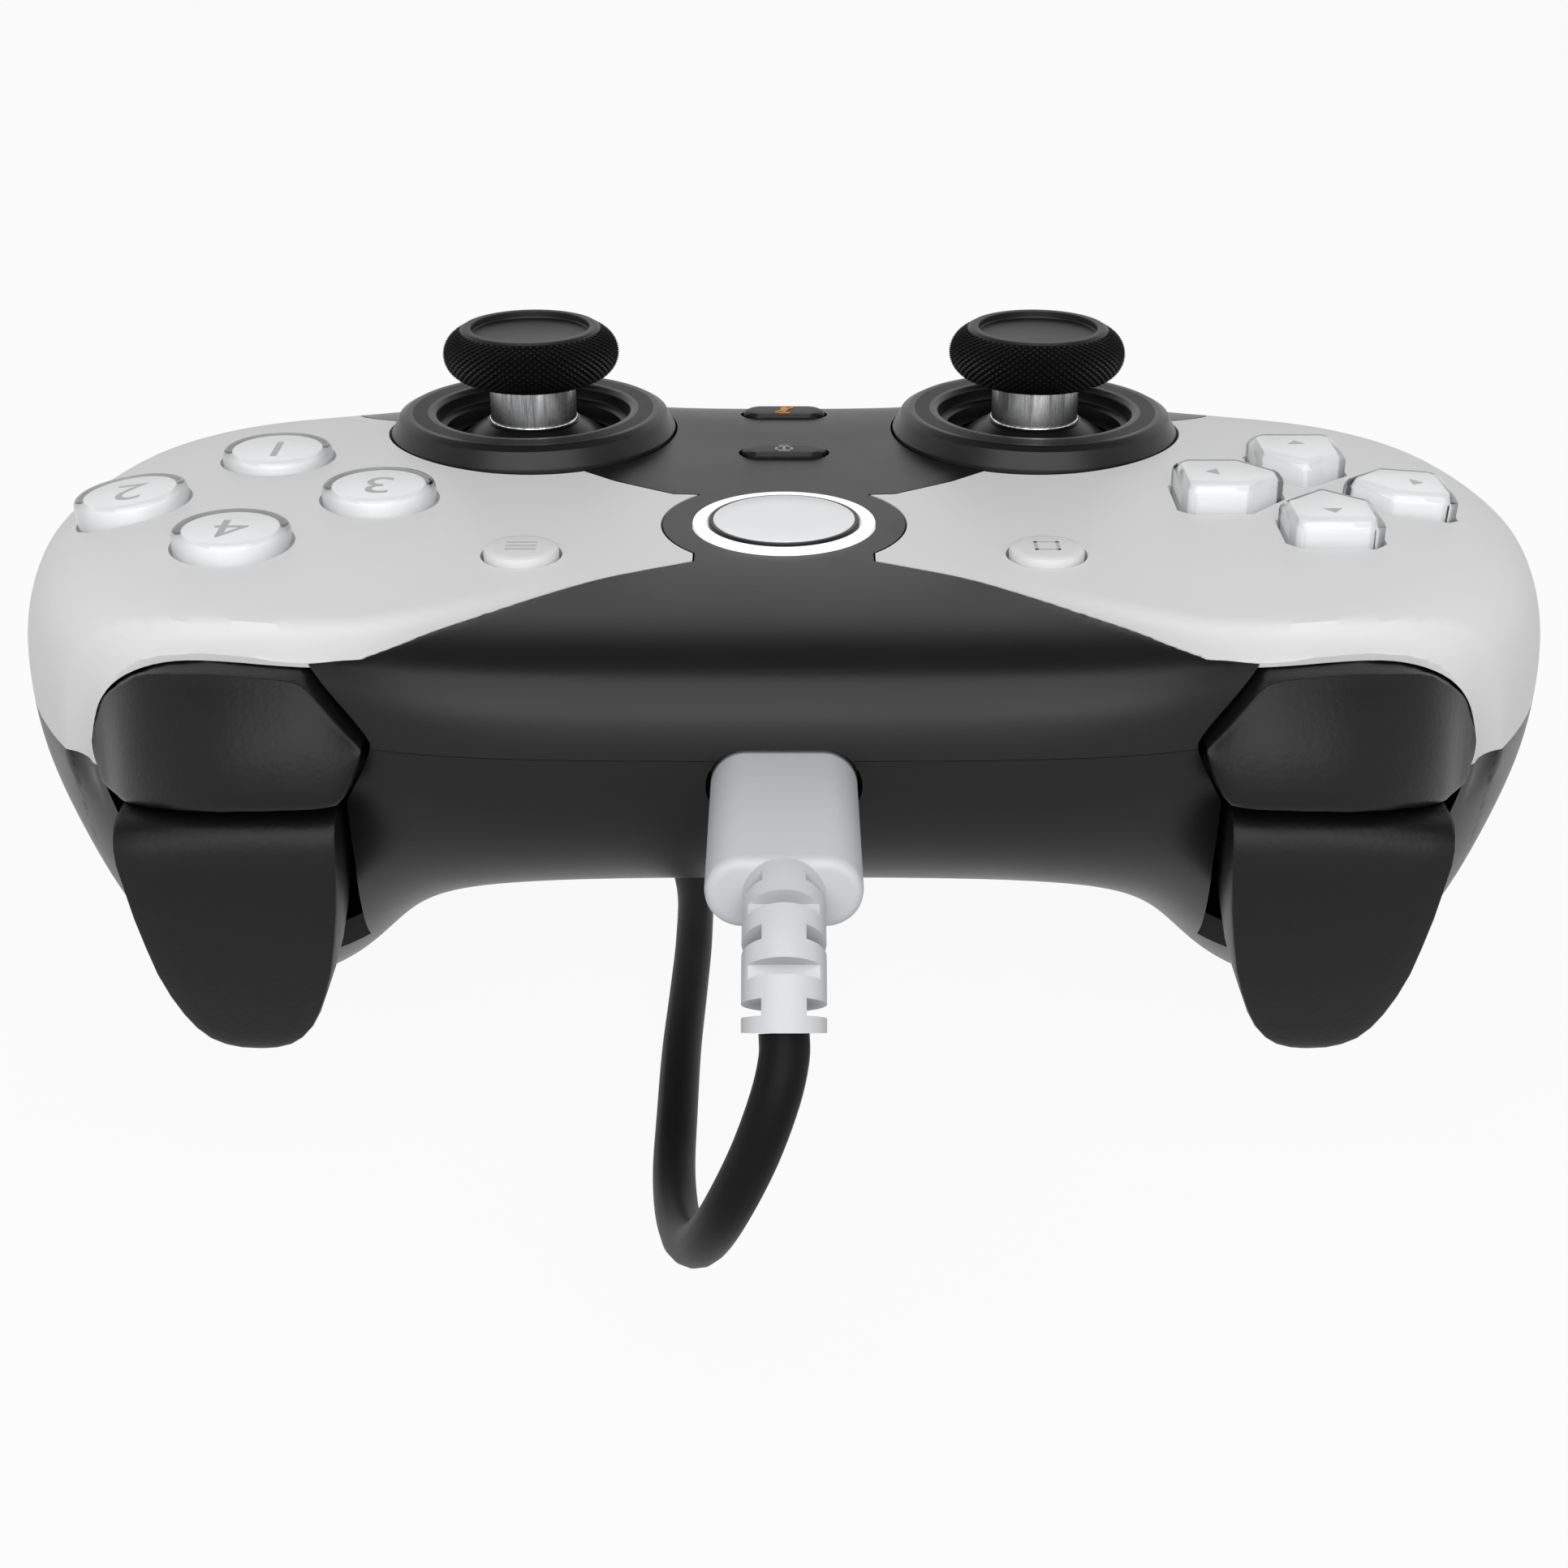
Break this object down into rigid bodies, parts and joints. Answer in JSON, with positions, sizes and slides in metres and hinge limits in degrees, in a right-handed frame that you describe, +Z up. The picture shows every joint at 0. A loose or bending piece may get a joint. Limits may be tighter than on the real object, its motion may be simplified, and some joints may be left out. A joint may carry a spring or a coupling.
{
  "type": "gamepad controller",
  "caption": "Wired two-grip gamepad with tilting thumb sticks, face buttons, direction keys, bumpers, sprung triggers and a coiled plug-in cable.",
  "frame": {"origin": "on the table, under the middle of the body without its cable", "axes": "+X along the width towards the direction keys, +Y towards the player, +Z up out of the face"},
  "size_m": [0.1566, 0.2213, 0.0652],
  "materials": {
    "black_shell": "matte, fine grain",
    "black_cover": "satin",
    "pale_shell": "satin",
    "black_trim": "satin",
    "black_rubber": "matte, knurled",
    "clear_plastic": "clear, polished",
    "white_plastic": "satin",
    "light_guide": "bright, diffuse",
    "steel": "brushed",
    "board": "matte",
    "grey_plastic": "matte",
    "silicone": "matte",
    "cord_jacket": "matte",
    "pale_overmould": "satin",
    "tie_band": "woven"
  },
  "bodies": {
    "shell": {"bottom_shell": "black_shell", "center_cover": "black_cover", "left_wing": "pale_shell", "right_wing": "pale_shell", "left_stick_collar": "black_trim", "right_stick_collar": "black_trim", "light_ring": "light_guide", "trigger_brackets": "grey_plastic", "trigger_pins": "steel", "trigger_springs": "steel", "stick_modules": "steel", "main_board": "board", "button_boards": "board", "button_domes": "silicone", "tact_switches": "grey_plastic", "usb_socket": "steel", "headset_jack": "black_trim", "rumble_motors": "steel", "shell_screws": "steel", "cable_plug": "pale_overmould", "plug_tongue": "steel", "cable_run": "cord_jacket", "cable_coil": "cord_jacket", "coil_tie": "tie_band", "far_plug": "pale_overmould", "far_plug_shell": "steel"},
    "home": {"home_button": "white_plastic"},
    "menu": {"menu_button": "pale_shell"},
    "view": {"view_button": "pale_shell"},
    "share": {"share_button": "black_trim"},
    "mute": {"mute_button": "black_trim"},
    "south": {"south_button": "clear_plastic", "south_core": "white_plastic"},
    "east": {"east_button": "clear_plastic", "east_core": "white_plastic"},
    "west": {"west_button": "clear_plastic", "west_core": "white_plastic"},
    "north": {"north_button": "clear_plastic", "north_core": "white_plastic"},
    "up_pad": {"up_key": "clear_plastic"},
    "down_pad": {"down_key": "clear_plastic"},
    "left_pad": {"left_key": "clear_plastic"},
    "right_pad": {"right_key": "clear_plastic"},
    "left_bumper": {"left_bumper": "black_trim"},
    "left_trigger": {"left_trigger": "black_trim"},
    "left_yoke": {"left_yoke": "grey_plastic"},
    "left_pivot": {"left_pivot": "grey_plastic"},
    "left_stick": {"left_stick_stem": "steel", "left_stick_dome": "black_trim", "left_stick_cap": "black_rubber"},
    "left_weight": {"left_weight": "steel"},
    "right_bumper": {"right_bumper": "black_trim"},
    "right_trigger": {"right_trigger": "black_trim"},
    "right_yoke": {"right_yoke": "grey_plastic"},
    "right_pivot": {"right_pivot": "grey_plastic"},
    "right_stick": {"right_stick_stem": "steel", "right_stick_dome": "black_trim", "right_stick_cap": "black_rubber"},
    "right_weight": {"right_weight": "steel"}
  },
  "joints": [
    {"name": "home_press", "type": "slide", "parent": "shell", "child": "home", "axis": [0, 0, 1], "range_m": [-0.0006, 0], "stiffness_N_per_m": 500, "springref_m": 0.0005},
    {"name": "menu_press", "type": "slide", "parent": "shell", "child": "menu", "axis": [0, 0, 1], "range_m": [-0.0006, 0], "stiffness_N_per_m": 500, "springref_m": 0.0005},
    {"name": "view_press", "type": "slide", "parent": "shell", "child": "view", "axis": [0, 0, 1], "range_m": [-0.0006, 0], "stiffness_N_per_m": 500, "springref_m": 0.0005},
    {"name": "share_press", "type": "slide", "parent": "shell", "child": "share", "axis": [0, 0, 1], "range_m": [-0.0006, 0], "stiffness_N_per_m": 500, "springref_m": 0.0005},
    {"name": "mute_press", "type": "slide", "parent": "shell", "child": "mute", "axis": [0, 0, 1], "range_m": [-0.0006, 0], "stiffness_N_per_m": 500, "springref_m": 0.0005},
    {"name": "south_press", "type": "slide", "parent": "shell", "child": "south", "axis": [0, 0, 1], "range_m": [-0.0012, 0], "stiffness_N_per_m": 500, "springref_m": 0.0005},
    {"name": "east_press", "type": "slide", "parent": "shell", "child": "east", "axis": [-0.1219, 0, 0.9925], "range_m": [-0.0012, 0], "stiffness_N_per_m": 500, "springref_m": 0.0005},
    {"name": "west_press", "type": "slide", "parent": "shell", "child": "west", "axis": [0, 0, 1], "range_m": [-0.0012, 0], "stiffness_N_per_m": 500, "springref_m": 0.0005},
    {"name": "north_press", "type": "slide", "parent": "shell", "child": "north", "axis": [0, 0, 1], "range_m": [-0.0012, 0], "stiffness_N_per_m": 500, "springref_m": 0.0005},
    {"name": "up_pad_press", "type": "slide", "parent": "shell", "child": "up_pad", "axis": [0, 0, 1], "range_m": [-0.0012, 0], "stiffness_N_per_m": 500, "springref_m": 0.0005},
    {"name": "down_pad_press", "type": "slide", "parent": "shell", "child": "down_pad", "axis": [0, 0, 1], "range_m": [-0.0012, 0], "stiffness_N_per_m": 500, "springref_m": 0.0005},
    {"name": "left_pad_press", "type": "slide", "parent": "shell", "child": "left_pad", "axis": [0.0698, 0, 0.9976], "range_m": [-0.0012, 0], "stiffness_N_per_m": 500, "springref_m": 0.0005},
    {"name": "right_pad_press", "type": "slide", "parent": "shell", "child": "right_pad", "axis": [0, 0, 1], "range_m": [-0.0012, 0], "stiffness_N_per_m": 500, "springref_m": 0.0005},
    {"name": "left_bumper_swing", "type": "hinge", "parent": "shell", "child": "left_bumper", "pos_m": [0.0422, -0.0369, 0.045], "axis": [0, 0, 1], "range_deg": [0, 2.5], "stiffness_Nm_per_rad": 1.2, "springref_deg": -1.15},
    {"name": "left_trigger_swing", "type": "hinge", "parent": "shell", "child": "left_trigger", "pos_m": [0.0488, -0.0365, 0.034], "axis": [1, 0, 0], "range_deg": [0, 16], "stiffness_Nm_per_rad": 0.2, "springref_deg": -8.59},
    {"name": "left_stick_fore_aft", "type": "hinge", "parent": "shell", "child": "left_yoke", "pos_m": [0.0272, 0.0124, 0.044], "axis": [1, 0, 0], "range_deg": [-12.5, 12.5], "stiffness_Nm_per_rad": 0.12},
    {"name": "left_stick_sideways", "type": "hinge", "parent": "left_yoke", "child": "left_pivot", "pos_m": [0.0272, 0.0124, 0.044], "axis": [0, 1, 0], "range_deg": [-12.5, 12.5], "stiffness_Nm_per_rad": 0.12},
    {"name": "left_stick_click", "type": "slide", "parent": "left_pivot", "child": "left_stick", "axis": [0, 0, 1], "range_m": [-0.0004, 0], "stiffness_N_per_m": 3000, "springref_m": 0.0003},
    {"name": "left_weight_spin", "type": "hinge", "parent": "shell", "child": "left_weight", "pos_m": [0.04875, 0.008, 0.015], "axis": [1, 0, 0], "continuous": true},
    {"name": "right_bumper_swing", "type": "hinge", "parent": "shell", "child": "right_bumper", "pos_m": [-0.0422, -0.0369, 0.045], "axis": [0, 0, -1], "range_deg": [0, 2.5], "stiffness_Nm_per_rad": 1.2, "springref_deg": -1.15},
    {"name": "right_trigger_swing", "type": "hinge", "parent": "shell", "child": "right_trigger", "pos_m": [-0.0488, -0.0365, 0.034], "axis": [1, 0, 0], "range_deg": [0, 16], "stiffness_Nm_per_rad": 0.2, "springref_deg": -8.59},
    {"name": "right_stick_fore_aft", "type": "hinge", "parent": "shell", "child": "right_yoke", "pos_m": [-0.0272, 0.0124, 0.044], "axis": [1, 0, 0], "range_deg": [-12.5, 12.5], "stiffness_Nm_per_rad": 0.12},
    {"name": "right_stick_sideways", "type": "hinge", "parent": "right_yoke", "child": "right_pivot", "pos_m": [-0.0272, 0.0124, 0.044], "axis": [0, 1, 0], "range_deg": [-12.5, 12.5], "stiffness_Nm_per_rad": 0.12},
    {"name": "right_stick_click", "type": "slide", "parent": "right_pivot", "child": "right_stick", "axis": [0, 0, 1], "range_m": [-0.0004, 0], "stiffness_N_per_m": 3000, "springref_m": 0.0003},
    {"name": "right_weight_spin", "type": "hinge", "parent": "shell", "child": "right_weight", "pos_m": [-0.04875, 0.008, 0.015], "axis": [1, 0, 0], "continuous": true}
  ]
}
